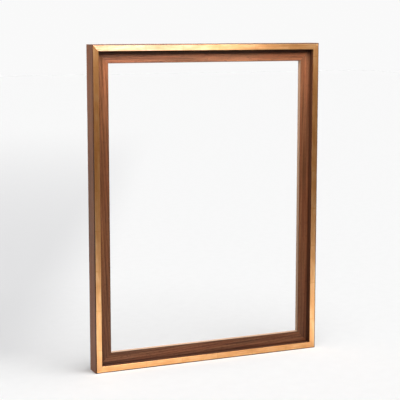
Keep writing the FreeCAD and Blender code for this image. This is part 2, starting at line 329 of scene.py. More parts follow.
fibre_space = add(tree, "ShaderNodeMapping", {"Vector": grain, "Scale": marks(125, 2.326)})
fibre = add(
    tree,
    "ShaderNodeTexNoise",
    {"Vector": fibre_space.outputs[0], "Scale": 1.0, "Detail": 6.0, "Roughness": 0.6},
)
band_space = add(tree, "ShaderNodeMapping", {"Vector": grain, "Scale": marks(200, 6.667)})
bands = add(
    tree,
    "ShaderNodeTexNoise",
    {"Vector": band_space.outputs[0], "Scale": 1.0, "Detail": 3.0, "Roughness": 0.5},
)
tone = add(
    tree,
    "ShaderNodeMix",
    {0: 0.45, 2: ring_tone.outputs["Color"], 3: fibre.outputs["Fac"]},
    data_type="FLOAT",
)
tone = add(
    tree,
    "ShaderNodeMix",
    {0: 0.42, 2: tone.outputs[0], 3: bands.outputs["Fac"]},
    data_type="FLOAT",
)
brown = add(
    tree,
    "ShaderNodeValToRGB",
    {"Fac": tone.outputs[0]},
    stops=[
        (0.32, "#402414"),
        (0.42, "#613c26"),
        (0.50, "#7d4e34"),
        (0.60, "#936042"),
        (0.72, "#ab7854"),
    ],
)
patch_space = add(
    tree,
    "ShaderNodeMapping",
    {"Vector": grain, "Scale": marks(142.86, 16.667), "Location": (3, 1, 2)},
)
patches = add(
    tree,
    "ShaderNodeTexNoise",
    {"Vector": patch_space.outputs[0], "Scale": 1.0, "Detail": 2.0},
)
redness = add(
    tree,
    "ShaderNodeValToRGB",
    {"Fac": patches.outputs["Fac"]},
    stops=[(0.38, "#ebe4d4"), (0.5, "#ffffff"), (0.62, "#ffece4")],
)
brown = add(
    tree,
    "ShaderNodeMix",
    {0: 0.75, 6: brown.outputs["Color"], 7: redness.outputs["Color"]},
    data_type="RGBA",
    blend_type="MULTIPLY",
)
# Each stick's brown is scaled by its plank tone, partly real tone and partly painted light and
# shade.
plank_tone_and_shade = add(tree, "ShaderNodeAttribute", attribute_name="plank_tone_and_shade").outputs["Fac"]
brown = add(
    tree,
    "ShaderNodeVectorMath",
    {0: brown.outputs[2], "Scale": plank_tone_and_shade},
    operation="SCALE",
)
# Pores are 0.2 mm wide in the wood; they are drawn at 0.36 mm, so that they show.
pore_space = add(tree, "ShaderNodeMapping", {"Vector": grain, "Scale": marks(9.091, 0.3571)})
pore_noise = add(
    tree,
    "ShaderNodeTexNoise",
    {"Vector": pore_space.outputs[0], "Scale": 1.0, "Detail": 1.0},
)
pores = add(
    tree,
    "ShaderNodeMapRange",
    {"Value": pore_noise.outputs["Fac"], "From Min": 0.60, "From Max": 0.70},
)
pored = add(
    tree,
    "ShaderNodeMix",
    {0: pores.outputs["Result"], 6: brown.outputs[0], 7: linear("#2a160d")},
    data_type="RGBA",
)
# The rounded arrises are darkened to a thin dark line: painted shade along each.
arris_darkened = add(tree, "ShaderNodeMath", {0: arris, 1: 0.8}, operation="MULTIPLY")
arris_shaded = add(
    tree,
    "ShaderNodeMix",
    {0: arris_darkened.outputs[0], 6: pored.outputs[2], 7: linear("#36241a")},
    data_type="RGBA",
)
# The wall of the recess and the first 5 mm of the ledge beside it are painted dark: painted
# shade in the recess, which deepens the shadow under the lip.
profile = add(tree, "ShaderNodeAttribute", attribute_name="profile").outputs["Vector"]
own = add(tree, "ShaderNodeSeparateXYZ", {"Vector": profile}).outputs
recess_shade = within(
    tree,
    (own["Z"], lip_width - 0.6 * MM, lip_width - 0.1 * MM),
    (own["Z"], lip_width + 5 * MM, lip_width),
    (own["Y"], recess_depth + 0.6 * MM, recess_depth + 0.2 * MM),
)
recess_shade = add(tree, "ShaderNodeMath", {0: recess_shade, 1: 0.85}, operation="MULTIPLY")
recess_shaded = add(
    tree,
    "ShaderNodeMix",
    {0: recess_shade.outputs[0], 6: arris_shaded.outputs[2], 7: linear("#341808")},
    data_type="RGBA",
)
# The inner edge of the ledge is painted paler and greyer: a painted highlight, as if lit from the
# pale room.
edge_highlight = within(tree, (own["Z"], rail_width - 0.9 * MM, rail_width - 0.3 * MM))
edge_highlight = add(tree, "ShaderNodeMath", {0: edge_highlight, 1: 0.5}, operation="MULTIPLY")
edge_highlighted = add(
    tree,
    "ShaderNodeMix",
    {0: edge_highlight.outputs[0], 6: recess_shaded.outputs[2], 7: linear("#b89a80")},
    data_type="RGBA",
)
satin = add(
    tree,
    "ShaderNodeMapRange",
    {
        "Value": fibre.outputs["Fac"],
        "From Min": 0.3,
        "From Max": 0.7,
        "To Min": 0.42,
        "To Max": 0.56,
    },
)
height = add(
    tree,
    "ShaderNodeMath",
    {0: fibre.outputs["Fac"], 1: 0.35, 2: 0.5},
    operation="MULTIPLY_ADD",
)
height = add(
    tree,
    "ShaderNodeMath",
    {0: height.outputs[0], 1: pores.outputs["Result"]},
    operation="SUBTRACT",
)
bump = add(
    tree,
    "ShaderNodeBump",
    {"Height": height.outputs[0], "Strength": 0.5, "Distance": 0.06 * MM},
)
shader.inputs["Anisotropic"].default_value = 0.75
shader.inputs["Specular IOR Level"].default_value = 0.24
tree.links.new(edge_highlighted.outputs[2], shader.inputs["Base Color"])
tree.links.new(satin.outputs["Result"], shader.inputs["Roughness"])
tree.links.new(across, shader.inputs["Tangent"])
tree.links.new(bump.outputs["Normal"], shader.inputs["Normal"])

arris_round = 1.5 * MM
edge_round = 0.8 * MM
hair = 0.2 * MM
rail_corners = [
    (0, 0, arris_round),
    (0, gilt_margin, hair),
    (gilt_thick, gilt_margin, hair),
    (gilt_thick, lip_width, hair),
    (recess_depth, lip_width, hair),
    (recess_depth, rail_width, edge_round),
    (ledge_back, rail_width, edge_round),
    (ledge_back, lip_width, hair),
    (wall_depth, lip_width, edge_round),
    (wall_depth, 0, edge_round),
]
# Where the nails go, for the slots that they cut. Each kind has how far its apex stands from the
# outside of the frame, how deep the back of the wood is there, and how tall the nail is.
nail_leg = 5.5 * MM
nail_thick = 0.6 * MM
nails_low, nails_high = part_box("corner_nails_bottom_left")
wall_apex = nails_low.x + nail_leg + frame_width / 2
ledge_apex = nails_high.x - nail_thick / 2 + frame_width / 2
NAILS = {"wall": (wall_apex, wall_depth, 15 * MM), "ledge": (ledge_apex, ledge_back, 7 * MM)}


def nail_outline(leg, thick):
    """The V of a corner nail from behind, its apex at the origin and its legs along -X and -Y."""
    half = thick / 2
    return [(half, half), (-leg, half), (-leg, -half), (-half, -half), (-half, -leg), (half, -leg)]


# Stands an outline up: its Y becomes the height, and its own Z points to the back.
UPRIGHT = Matrix(((1, 0, 0, 0), (0, 0, 1, 0), (0, 1, 0, 0), (0, 0, 0, 1)))


def nail_place(kind, right, top):
    """Where a nail's outline stands: on the back of the wood at one corner, facing +Y."""
    apex, back, _ = NAILS[kind]
    x = (1 if right else -1) * (frame_width / 2 - apex)
    z = frame_height - apex if top else apex
    flip = Matrix.Diagonal((-1 if right else 1, -1 if top else 1, 1, 1))
    return Matrix.Translation((x, face_y + back, z)) @ UPRIGHT @ flip


slot_play = 0.15 * MM
mitre_ease = 0.12 * MM
# Each stick comes from its own plank, so its rings start from its own place and its tone is a
# little lighter or darker. The tones also carry painted light and shade: lightest on the top
# stick, darkest on the left.
PLANKS = {
    "bottom": (0.31, 0.052, 0.031),
    "top": (2.17, 0.047, -0.036),
    "left": (5.42, -0.044, 0.040),
    "right": (6.05, 0.060, 0.024),
}
PLANK_TONES_AND_SHADE = {"bottom": 1.04, "top": 1.1, "left": 0.8, "right": 0.88}
for side in SIDES:
    rail = mitred_stick(f"walnut_rail_{side}", rounded_outline(rail_corners), side, mitre_ease)
    cutters = []
    for kind, (_, _, nail_height) in NAILS.items():
        for right, top in ((False, False), (False, True), (True, False), (True, True)):
            at_corner = side in ("right" if right else "left", "top" if top else "bottom")
            if at_corner:
                outline = nail_outline(nail_leg + slot_play, nail_thick + 2 * slot_play)
                into = nail_place(kind, right, top) @ Matrix.Translation((0, 0, -nail_height))
                cutters.append(prism(outline, into, 2 * nail_height))
    carve(rail, cutters)
    smooth(rail)
    lay_grain(rail, side, rail_corners, PLANKS[side])
    tones_and_shade = [PLANK_TONES_AND_SHADE[side]] * len(rail.data.vertices)
    rail.data.attributes.new("plank_tone_and_shade", "FLOAT", "POINT").data.foreach_set("value", tones_and_shade)
    rail.data.materials.append(walnut)
    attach(rail, "frame")
    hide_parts(f"rail_{side}")

# ---------------------------------------------------------------- gilt slips
# Thin hardwood slips let into the face of the lip, coated with red-brown bole, laid with leaf
# metal, burnished along their length and toned with amber lacquer. They are mitred and glued in.

slip_guard = 0.8 * MM
slip_ease = 0.08 * MM
slip_corners = [
    (0, gilt_margin, hair),
    (0, lip_width, 0.6 * MM),
    (gilt_thick, lip_width, hair),
    (gilt_thick, gilt_margin, hair),
]

# Leaf metal under amber lacquer: a warm gold whose burnishing lines spread highlights across
# the slip, with the faint laps of 80 mm leaves, cloudy toning, and bole showing at the edges.
# The burnishing lines are a few hundredths wide; they are drawn at 1.1 mm, so that they show.
LEAF = 80 * MM
gilt, tree, shader = new_material("burnished_leaf_gilt")
shader.inputs["Metallic"].default_value = 1.0
shader.inputs["Anisotropic"].default_value = 0.92
grain = add(tree, "ShaderNodeAttribute", attribute_name="grain").outputs["Vector"]
arris = add(tree, "ShaderNodeAttribute", attribute_name="arris").outputs["Fac"]
across = add(tree, "ShaderNodeAttribute", attribute_name="across").outputs["Vector"]
cloud_space = add(tree, "ShaderNodeMapping", {"Vector": grain, "Scale": marks(35.714, 11.11)})
clouds = add(
    tree,
    "ShaderNodeTexNoise",
    {"Vector": cloud_space.outputs[0], "Scale": 1.0, "Detail": 4.0, "Roughness": 0.6},
)
line_space = add(tree, "ShaderNodeMapping", {"Vector": grain, "Scale": marks(100, 1.111)})
lines = add(
    tree,
    "ShaderNodeTexNoise",
    {"Vector": line_space.outputs[0], "Scale": 1.0, "Detail": 4.0, "Roughness": 0.65},
)
toning = add(
    tree,
    "ShaderNodeMix",
    {0: 0.5, 2: clouds.outputs["Fac"], 3: lines.outputs["Fac"]},
    data_type="FLOAT",
)
gold = add(
    tree,
    "ShaderNodeValToRGB",
    {"Fac": toning.outputs[0]},
    stops=[(0.30, "#d3935b"), (0.5, "#eeb378"), (0.70, "#ffd6a2")],
)
apart = add(tree, "ShaderNodeSeparateXYZ", {"Vector": grain})
jitter = add(
    tree,
    "ShaderNodeMath",
    {0: clouds.outputs["Fac"], 1: 5 * MM, 2: apart.outputs["X"]},
    operation="MULTIPLY_ADD",
)
leaf = add(tree, "ShaderNodeMath", {0: jitter.outputs[0], 1: LEAF}, operation="FLOORED_MODULO")
lap = add(
    tree,
    "ShaderNodeMapRange",
    {"Value": leaf.outputs[0], "From Min": 0, "From Max": 3 * MM, "To Min": 1, "To Max": 0},
)
lapped = add(
    tree,
    "ShaderNodeMix",
    {0: lap.outputs["Result"], 6: gold.outputs["Color"], 7: linear("#e4a86c")},
    data_type="RGBA",
)
rub_noise = add(
    tree,
    "ShaderNodeMapRange",
    {"Value": lines.outputs["Fac"], "From Min": 0.42, "From Max": 0.62},
)
rubbed = add(
    tree,
    "ShaderNodeMath",
    {0: arris, 1: rub_noise.outputs["Result"]},
    operation="MULTIPLY",
)
rubbed = add(tree, "ShaderNodeMath", {0: rubbed.outputs[0], 1: 0.6}, operation="MULTIPLY")
arris_darkened = add(
    tree,
    "ShaderNodeMix",
    {0: rubbed.outputs[0], 6: lapped.outputs[2], 7: linear("#7a4526")},
    data_type="RGBA",
)
gloss = add(
    tree,
    "ShaderNodeMapRange",
    {
        "Value": lines.outputs["Fac"],
        "From Min": 0.3,
        "From Max": 0.7,
        "To Min": 0.34,
        "To Max": 0.46,
    },
)
bump = add(
    tree,
    "ShaderNodeBump",
    {"Height": lines.outputs["Fac"], "Strength": 0.35, "Distance": 0.02 * MM},
)
tree.links.new(arris_darkened.outputs[2], shader.inputs["Base Color"])
tree.links.new(gloss.outputs["Result"], shader.inputs["Roughness"])
tree.links.new(bump.outputs["Normal"], shader.inputs["Normal"])
tree.links.new(across, shader.inputs["Tangent"])

for side in SIDES:
    slip_outline = rounded_outline(slip_corners, guard=slip_guard)
    slip = mitred_stick(f"gilt_slip_{side}", slip_outline, side, slip_ease)
    smooth(slip)
    lay_grain(slip, side, slip_corners, [2 * shift for shift in PLANKS[side]])
    slip.data.materials.append(gilt)
    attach(slip, "frame")
    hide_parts(f"gilt_face_{side}")

# ---------------------------------------------------------------- corner nails
# Two V-nails across each mitre, driven from behind: a long one in the outer wall and a short one
# in the ledge. They are strips of blued spring steel bent to a V, set half a millimetre deep.


def gather(name, pieces):
    """Puts several pieces into one mesh, which takes their place."""
    work = bmesh.new()
    for piece in pieces:
        work.from_mesh(piece.data)
        bpy.data.objects.remove(piece)
    return placed_piece(name, work)


def ease(piece, width, segments=2):
    """Rounds the sharp edges of a piece a little, as tumbling or plating leaves them."""
    step = piece.modifiers.new("ease", "BEVEL")
    step.width = width
    step.segments = segments
    step.limit_method = "ANGLE"
    step.angle_limit = math.radians(40)
    settle(piece)


def steel(name, stops, roughness, along):
    """Sheet or wire steel with a thin finish: drawing lines that run along the axes marked
    True, a cloudy tone, small dull pits, and darkening where the recess attribute is set: dirt and
    painted shade."""
    material, tree, shader = new_material(name)
    own = add(tree, "ShaderNodeTexCoord").outputs["Object"]
    # Drawing lines are too fine to show, so they are drawn 0.19 mm wide and 3.8 mm long.
    long, fine = 1 / (3.846 * MM), 1 / (0.1923 * MM)
    drawn = add(
        tree,
        "ShaderNodeMapping",
        {"Vector": own, "Scale": [long if runs else fine for runs in along]},
    )
    lines = add(
        tree,
        "ShaderNodeTexNoise",
        {"Vector": drawn.outputs[0], "Scale": 1.0, "Detail": 4.0},
    )
    cloud = add(
        tree,
        "ShaderNodeTexNoise",
        {"Vector": own, "Scale": 1 / (3.846 * MM), "Detail": 5.0, "Roughness": 0.6},
    )
    mixed = add(
        tree,
        "ShaderNodeMix",
        {0: 0.55, 2: lines.outputs["Fac"], 3: cloud.outputs["Fac"]},
        data_type="FLOAT",
    )
    tone = add(tree, "ShaderNodeValToRGB", {"Fac": mixed.outputs[0]}, stops=stops)
    pit_noise = add(
        tree,
        "ShaderNodeTexNoise",
        {"Vector": own, "Scale": 1 / (0.6667 * MM), "Detail": 2.0},
    )
    pits = add(
        tree,
        "ShaderNodeMapRange",
        {"Value": pit_noise.outputs["Fac"], "From Min": 0.63, "From Max": 0.72},
    )
    dulled = add(
        tree,
        "ShaderNodeMix",
        {0: pits.outputs["Result"], 6: tone.outputs["Color"], 7: linear("#54493d")},
        data_type="RGBA",
    )
    # Where the recess attribute is set, the steel is darkened: dirt and painted shade in the
    # recess.
    recess_dirt_and_shade = add(tree, "ShaderNodeAttribute", attribute_name="recess_dirt_and_shade").outputs["Fac"]
    recess_dark = add(tree, "ShaderNodeMath", {0: recess_dirt_and_shade, 1: cloud.outputs["Fac"]}, operation="MULTIPLY")
    recess_dark = add(
        tree,
        "ShaderNodeMath",
        {0: recess_dark.outputs[0], 1: 1.5},
        operation="MULTIPLY",
        use_clamp=True,
    )
    recess_darkened = add(
        tree,
        "ShaderNodeMix",
        {0: recess_dark.outputs[0], 6: dulled.outputs[2], 7: linear("#2c2620")},
        data_type="RGBA",
    )
    rough = add(
        tree,
        "ShaderNodeMapRange",
        {
            "Value": mixed.outputs[0],
            "From Min": 0.3,
            "From Max": 0.7,
            "To Min": roughness[0],
            "To Max": roughness[1],
        },
    )
    bump = add(
        tree,
        "ShaderNodeBump",
        {"Height": lines.outputs["Fac"], "Strength": 0.3, "Distance": 0.02 * MM},
    )
    shader.inputs["Metallic"].default_value = 1.0
    tree.links.new(recess_darkened.outputs[2], shader.inputs["Base Color"])
    tree.links.new(rough.outputs["Result"], shader.inputs["Roughness"])
    tree.links.new(bump.outputs["Normal"], shader.inputs["Normal"])
    return material


# Blued spring steel: a blue-black oxide with brown edges of temper colour, satin.
blued_steel = steel(
    "blued_spring_steel",
    [(0.35, "#2b2f38"), (0.5, "#4a505c"), (0.62, "#6b6a6c"), (0.75, "#8a7a66")],
    (0.34, 0.5),
    (False, True, False),
)
sunk = 0.5 * MM
for top in (True, False):
    for right in (False, True):
        corner = f"{'top' if top else 'bottom'}_{'right' if right else 'left'}"
        strips = []
        for kind, (_, _, nail_height) in NAILS.items():
            into = nail_place(kind, right, top) @ Matrix.Translation((0, 0, -nail_height))
            strips.append(prism(nail_outline(nail_leg, nail_thick), into, nail_height - sunk))
        nails = gather(f"v_nails_{corner}", strips)
        ease(nails, 0.09 * MM)
        smooth(nails)
        nails.data.materials.append(blued_steel)
        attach(nails, "frame")
        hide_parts(f"corner_nails_{corner}")

# ---------------------------------------------------------------- hanger straps
# A strap of 1 mm steel sheet on the back of each side ledge, folded double round the bar of its
# ring. It is punched and rounded at the end, tumbled, and plated with bright nickel.

# The hanger is drawn in millimetres, from the middle of the bar of its ring.
TO_METRES = Matrix.Diagonal((MM, MM, MM, 1))
sheet = 0.94
eye_line = 1.9
eye_reach = 2.4
neck_round = 2.0
strap_long = 44.0
strap_half = 5.0
strap_above = 4
strap_round = 4
hole_drops = (22, 36)
hole_radius = 2.0


def arc(centre, radius, start, end, steps):
    """Points along an arc, its angles in degrees."""
    x, y = centre
    turns = [math.radians(start + (end - start) * i / steps) for i in range(steps + 1)]
    return [Vector((x + radius * math.cos(a), y + radius * math.sin(a))) for a in turns]


def band(line, thick):
    """The outline of sheet of this thickness that follows a line."""
    sides = ([], [])
    for i, here in enumerate(line):
        along = (line[min(i + 1, len(line) - 1)] - line[max(i - 1, 0)]).normalized()
        across = Vector((-along.y, along.x)) * thick / 2
        sides[0].append(here + across)
        sides[1].append(here - across)
    return sides[0] + sides[1][::-1]


# The sheet runs up the wood, round the bar, back in at the neck and down its own outer face.
outer_ply = 0.9
turn = math.acos((neck_round - outer_ply) / (eye_line + neck_round))
neck = (eye_line + neck_round) * Vector((math.cos(turn), -math.sin(turn)))
wrap = math.degrees(turn)
sheet_line = [Vector((-eye_line, -strap_long)), Vector((-eye_line, -1.0))]
sheet_line += arc((0, 0), eye_line, 180, -wrap, 30)
sheet_line += arc(neck, neck_round, 180 - wrap, 180, 10)[1:]
sheet_line += [Vector((-outer_ply, neck.y - 1)), Vector((-outer_ply, -strap_long))]

foot_line = strap_round - strap_long
strap_plan = [Vector((-strap_half, strap_above))]
strap_plan += arc((strap_round - strap_half, foot_line), strap_round, 180, 270, 10)
strap_plan += arc((strap_half - strap_round, foot_line), strap_round, 270, 360, 10)
strap_plan += [Vector((strap_half, strap_above))]
# The folded line is pushed sideways, and the plan and the holes are cut from the front back.
SIDEWAYS = Matrix(((0, 0, 1, 0), (1, 0, 0, 0), (0, 1, 0, 0), (0, 0, 0, 1)))
blank_half = 8
cut_half = 5
cut_place = UPRIGHT @ Matrix.Translation((0, 0, -cut_half))

# Bright nickel over steel: a warm silver with the rolling lines of the sheet under it.
nickel_sheet = steel(
    "bright_nickel_on_sheet",
    [(0.35, "#a39c90"), (0.5, "#c6c0b5"), (0.65, "#dcd7cd")],
    (0.2, 0.34),
    (False, False, True),
)
for side in ("left", "right"):
    low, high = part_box(f"hanger_strap_{side}")
    middle = (low.x + high.x) / 2
    eye = (middle, low.y + eye_reach * MM, high.z - eye_reach * MM)
    blank_place = SIDEWAYS @ Matrix.Translation((0, 0, -blank_half))
    strap = prism(band(sheet_line, sheet), blank_place, 2 * blank_half)
    strap.name = f"hanger_strap_sheet_{side}"
    carve(strap, [prism(strap_plan, cut_place, 2 * cut_half)], "INTERSECT")
    punches = []
    for drop in hole_drops:
        hole = arc((0, -drop), hole_radius, 0, 360, 40)[:-1]
        punches.append(prism(hole, cut_place, 2 * cut_half))
    carve(strap, punches)
    ease(strap, 0.14)
    strap.data.transform(Matrix.Translation(eye) @ TO_METRES)
    smooth(strap)
    strap.data.materials.append(nickel_sheet)
    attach(strap, "frame")
    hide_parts(f"hanger_strap_{side}")

# ---------------------------------------------------------------- hanger rings
# The folding D-ring in each strap: 2.6 mm steel wire bent in a jig, its ends butted inside the
# eye, and nickel plated with the strap. It hangs against the ledge, held off by the strap.

wire_radius = 1.3
butt = 2.6
shoulder_round = 3
bow_radius = 8.3
bow_drop = 6
shoulder = bow_radius - shoulder_round
ring_line = [Vector((0, 0)), Vector((butt, 0))]
ring_line += arc((shoulder, -shoulder_round), shoulder_round, 90, 0, 10)
ring_line += arc((0, -bow_drop), bow_radius, 0, -180, 48)
ring_line += arc((-shoulder, -shoulder_round), shoulder_round, 180, 90, 10)
ring_line += [Vector((-butt, 0))]
lean = math.radians(4.5)


def wire_loop(name, line, radius, segments=24):
    """A closed loop of round wire along a line in its own XZ plane."""
    work = bmesh.new()
    loops = []
    for i, here in enumerate(line):
        along = (line[(i + 1) % len(line)] - line[i - 1]).normalized()
        loop = []
        for step in range(segments):
            turn = 2 * math.pi * step / segments
            out = radius * math.cos(turn)
            up = radius * math.sin(turn)
            loop.append(work.verts.new((here.x - along.y * out, up, here.y + along.x * out)))
        loops.append(loop)
    for i, first in enumerate(loops):
        second = loops[(i + 1) % len(loops)]
        for a in range(segments):
            b = (a + 1) % segments
            work.faces.new((first[a], first[b], second[b], second[a]))
    bmesh.ops.recalc_face_normals(work, faces=work.faces)
    return placed_piece(name, work)


# Bright nickel on drawn wire: the same plating, glossier.
nickel_wire = steel(
    "bright_nickel_on_wire",
    [(0.35, "#aca69b"), (0.5, "#cdc8be"), (0.65, "#e2ded6")],
    (0.14, 0.26),
    (True, False, True),
)
for side in ("left", "right"):
    hinge = next(j for j in frame["joints"] if j["name"] == f"ring_hinge_{side}")
    ring = wire_loop(f"hanger_d_ring_{side}", ring_line, wire_radius)
    hang = Matrix.Translation(hinge["pos_m"]) @ Matrix.Rotation(lean, 4, "X")
    ring.data.transform(hang @ TO_METRES)
    smooth(ring, 60)
    ring.data.materials.append(nickel_wire)
    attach(ring, f"ring_{side}")
    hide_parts(f"hanger_ring_{side}")

# ---------------------------------------------------------------- hanger screws
# Two pan-head wood screws hold each strap. The heads are upset from wire with a tapered cross
# recess, zinc plated, and each is driven home to its own angle.

# In millimetres, as radius and height from the seat of the head.
head_radius = 3.5
head_high = 2.2
dome_rise = 1.3
dome = (head_radius**2 + dome_rise**2) / (2 * dome_rise)
screw_profile = [(0, -9.5), (1.45, -7.5), (1.45, 0), (3.4, 0)]
screw_profile += [(head_radius, 0.1), (head_radius, 0.75), (3.47, 0.88), (3.38, 1.0), (3.25, 1.1)]
screw_profile += [
    (dome * math.sin(math.radians(a)), head_high - dome + dome * math.cos(math.radians(a)))
    for a in (35, 31, 27, 23, 19, 15, 11, 7, 3.5, 0)
]
cross_deep = 1.45
cross_taper = 0.55
cross_reach = 2
above_head = head_high + 0.1
arm = [(0.5, -0.5), (1.9, -0.42), (1.9, 0.42)]
quarters = ((1, 0), (0, 1), (-1, 0), (0, -1))
cross = [(x * c - y * s, x * s + y * c) for c, s in quarters for x, y in arm]


def turned(name, profile, segments=48):
    """A lathe shape: a profile of (radius, height) spun about its own Z."""
    work = bmesh.new()
    loops = []
    for radius, height in profile:
        if radius == 0:
            loops.append([work.verts.new((0, 0, height))] * segments)
            continue
        turns = [2 * math.pi * i / segments for i in range(segments)]
        round_points = [(radius * math.cos(a), radius * math.sin(a), height) for a in turns]
        loops.append([work.verts.new(point) for point in round_points])
    for first, second in zip(loops, loops[1:]):
        for a in range(segments):
            b = (a + 1) % segments
            corners = dict.fromkeys((first[a], first[b], second[b], second[a]))
            work.faces.new(list(corners))
    bmesh.ops.recalc_face_normals(work, faces=work.faces)
    return placed_piece(name, work)


# Zinc plate: cooler and greyer than the nickel, with the cross recess darkened by dirt and painted
# shade.
zinc_steel = steel(
    "zinc_plated_screw_steel",
    [(0.35, "#8d9196"), (0.5, "#b2b6ba"), (0.65, "#cdd0d2")],
    (0.26, 0.42),
    (True, True, False),
)
DRIVEN = {"left": (17, -38), "right": (61, 5)}
FACING_BACK = Matrix.Rotation(math.radians(-90), 4, "X")
for side in ("left", "right"):
    low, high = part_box(f"hanger_screws_{side}")
    screws = []
    heights = (high.z - head_radius * MM, low.z + head_radius * MM)
    for z, angle in zip(heights, DRIVEN[side]):
        screw = turned("screw", screw_profile)
        recess = prism(cross, Matrix.Translation((0, 0, above_head)), -cross_deep, cross_taper)
        carve(screw, [recess])
        # Vertices sunk in the cross recess are marked for its dirt and painted shade.
        recess_dirt_and_shade = []
        for vertex in screw.data.vertices:
            out = vertex.co.xy.length
            surface = head_high - dome + math.sqrt(dome**2 - out**2)
            sunk_in = out < cross_reach and 0.5 < vertex.co.z < surface - 0.1
            recess_dirt_and_shade.append(1.0 if sunk_in else 0.0)
        screw.data.attributes.new("recess_dirt_and_shade", "FLOAT", "POINT").data.foreach_set("value", recess_dirt_and_shade)
        stand = FACING_BACK @ Matrix.Rotation(math.radians(angle), 4, "Z")
        home = Vector(((low.x + high.x) / 2, high.y - head_high * MM, z))
        screw.data.transform(Matrix.Translation(home) @ stand @ TO_METRES)
        screws.append(screw)
    pair = gather(f"pan_head_screws_{side}", screws)
    smooth(pair)
    pair.data.materials.append(zinc_steel)
    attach(pair, "frame")
    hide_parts(f"hanger_screws_{side}")

# ---------------------------------------------------------------- wall bumpers
# A soft disc of grey rubber near each end of the bottom rail keeps the frame off the wall. It is
# punched from sheet, its edge moulded round, and held by a clear film of glue.

# In millimetres, as radius and height from the wood: the film of glue, then the rubber.
bumper_profile = [(0, 0), (5.0, 0), (5.0, 0.14), (4.86, 0.16), (4.84, 0.3)]
bumper_profile += [(p.x, p.y) for p in arc((4.14, 1.3), 0.7, 0, 90, 8)]
bumper_profile += [(3.4, 1.995), (2.2, 1.97), (0, 1.95)]

# Soft rubber: charcoal, matt, finely pebbled, with patches of pale wall dust.
rubber, tree, shader = new_material("soft_charcoal_rubber")
own = add(tree, "ShaderNodeTexCoord").outputs["Object"]
pebble = add(
    tree,
    "ShaderNodeTexNoise",
    {"Vector": own, "Scale": 1 / (0.3846 * MM), "Detail": 2.0},
)
cloud = add(tree, "ShaderNodeTexNoise", {"Vector": own, "Scale": 1 / (3.125 * MM), "Detail": 4.0})
tone = add(
    tree,
    "ShaderNodeValToRGB",
    {"Fac": cloud.outputs["Fac"]},
    stops=[(0.35, "#2e2d2c"), (0.55, "#3b3937"), (0.7, "#4b4845")],
)
dust_noise = add(
    tree,
    "ShaderNodeTexNoise",
    {"Vector": own, "Scale": 1 / (1.111 * MM), "Detail": 3.0},
)
dust = add(
    tree,
    "ShaderNodeMapRange",
    {"Value": dust_noise.outputs["Fac"], "From Min": 0.55, "From Max": 0.75, "To Max": 0.5},
)
dusted = add(
    tree,
    "ShaderNodeMix",
    {0: dust.outputs["Result"], 6: tone.outputs["Color"], 7: linear("#8f8a82")},
    data_type="RGBA",
)
rough = add(
    tree,
    "ShaderNodeMapRange",
    {
        "Value": cloud.outputs["Fac"],
        "From Min": 0.3,
        "From Max": 0.7,
        "To Min": 0.55,
        "To Max": 0.75,
    },
)
bump = add(
    tree,
    "ShaderNodeBump",
    {"Height": pebble.outputs["Fac"], "Strength": 0.6, "Distance": 0.05 * MM},
)
tree.links.new(dusted.outputs[2], shader.inputs["Base Color"])
tree.links.new(rough.outputs["Result"], shader.inputs["Roughness"])
tree.links.new(bump.outputs["Normal"], shader.inputs["Normal"])
for side in ("left", "right"):
    low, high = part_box(f"wall_bumper_{side}")
    bumper = turned(f"rubber_bumper_{side}", bumper_profile)
    stuck = Vector(((low.x + high.x) / 2, low.y, (low.z + high.z) / 2))
    bumper.data.transform(Matrix.Translation(stuck) @ FACING_BACK @ TO_METRES)
    smooth(bumper)
    bumper.data.materials.append(rubber)
    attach(bumper, "frame")
    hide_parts(f"wall_bumper_{side}")

# ---------------------------------------------------------------- studio
# The frame stands on a sheet of white paper that ends a metre in front of it, in a dim room.
# Soft boxes above its face, at its left and behind it and an even daylight from the upper right
# light the frame, and a second daylight, from the front, lights only the paper.

bpy.context.scene.view_settings.view_transform = "Standard"


def oblong(half, near, far):
    """A rectangle on plan: half its width to each side, and from near to far in Y."""
    return [(-half, near), (half, near), (half, far), (-half, far)]


paper_half, paper_near, paper_far = 9.0, -1.0, 14.0
paper_thick = 0.2 * MM
paper_plan = oblong(paper_half, paper_near, paper_far)
paper_sheet = prism(paper_plan, Matrix.Identity(4), -paper_thick)
paper_sheet.name = "paper_sheet"
# Matt paper: a plain white with a faint cloud in its making, and no shine. A patch of it at the
# left is painted grey, a painted shadow that fades out on all sides.
paper, tree, shader = new_material("matt_white_paper")
where = add(tree, "ShaderNodeTexCoord").outputs["Object"]
patch_turn = 0.42
turned_plan = add(tree, "ShaderNodeMapping", {"Vector": where, "Rotation": (0, 0, patch_turn)})
apart = add(tree, "ShaderNodeSeparateXYZ", {"Vector": turned_plan.outputs[0]})
shade = within(
    tree,
    (apart.outputs["X"], -0.24, -0.5),
    (apart.outputs["X"], -2.2, -1.0),
    (apart.outputs["Y"], 6.0, 0.4),
    (apart.outputs["Y"], -0.12, 0.1),
)
fibres = add(tree, "ShaderNodeTexNoise", {"Vector": where, "Scale": 1 / (25 * MM), "Detail": 6.0})
paper_tone = add(
    tree,
    "ShaderNodeValToRGB",
    {"Fac": fibres.outputs["Fac"]},
    stops=[(0.3, "#f3f3f3"), (0.7, "#f5f5f5")],
)
shaded = add(
    tree,
    "ShaderNodeMix",
    {0: shade, 6: paper_tone.outputs["Color"], 7: linear("#ddddde")},
    data_type="RGBA",
)
tree.links.new(shaded.outputs[2], shader.inputs["Base Color"])
shader.inputs["Roughness"].default_value = 0.9
shader.inputs["Specular IOR Level"].default_value = 0.0
paper_sheet.data.materials.append(paper)
paper_sheet.visible_diffuse = False

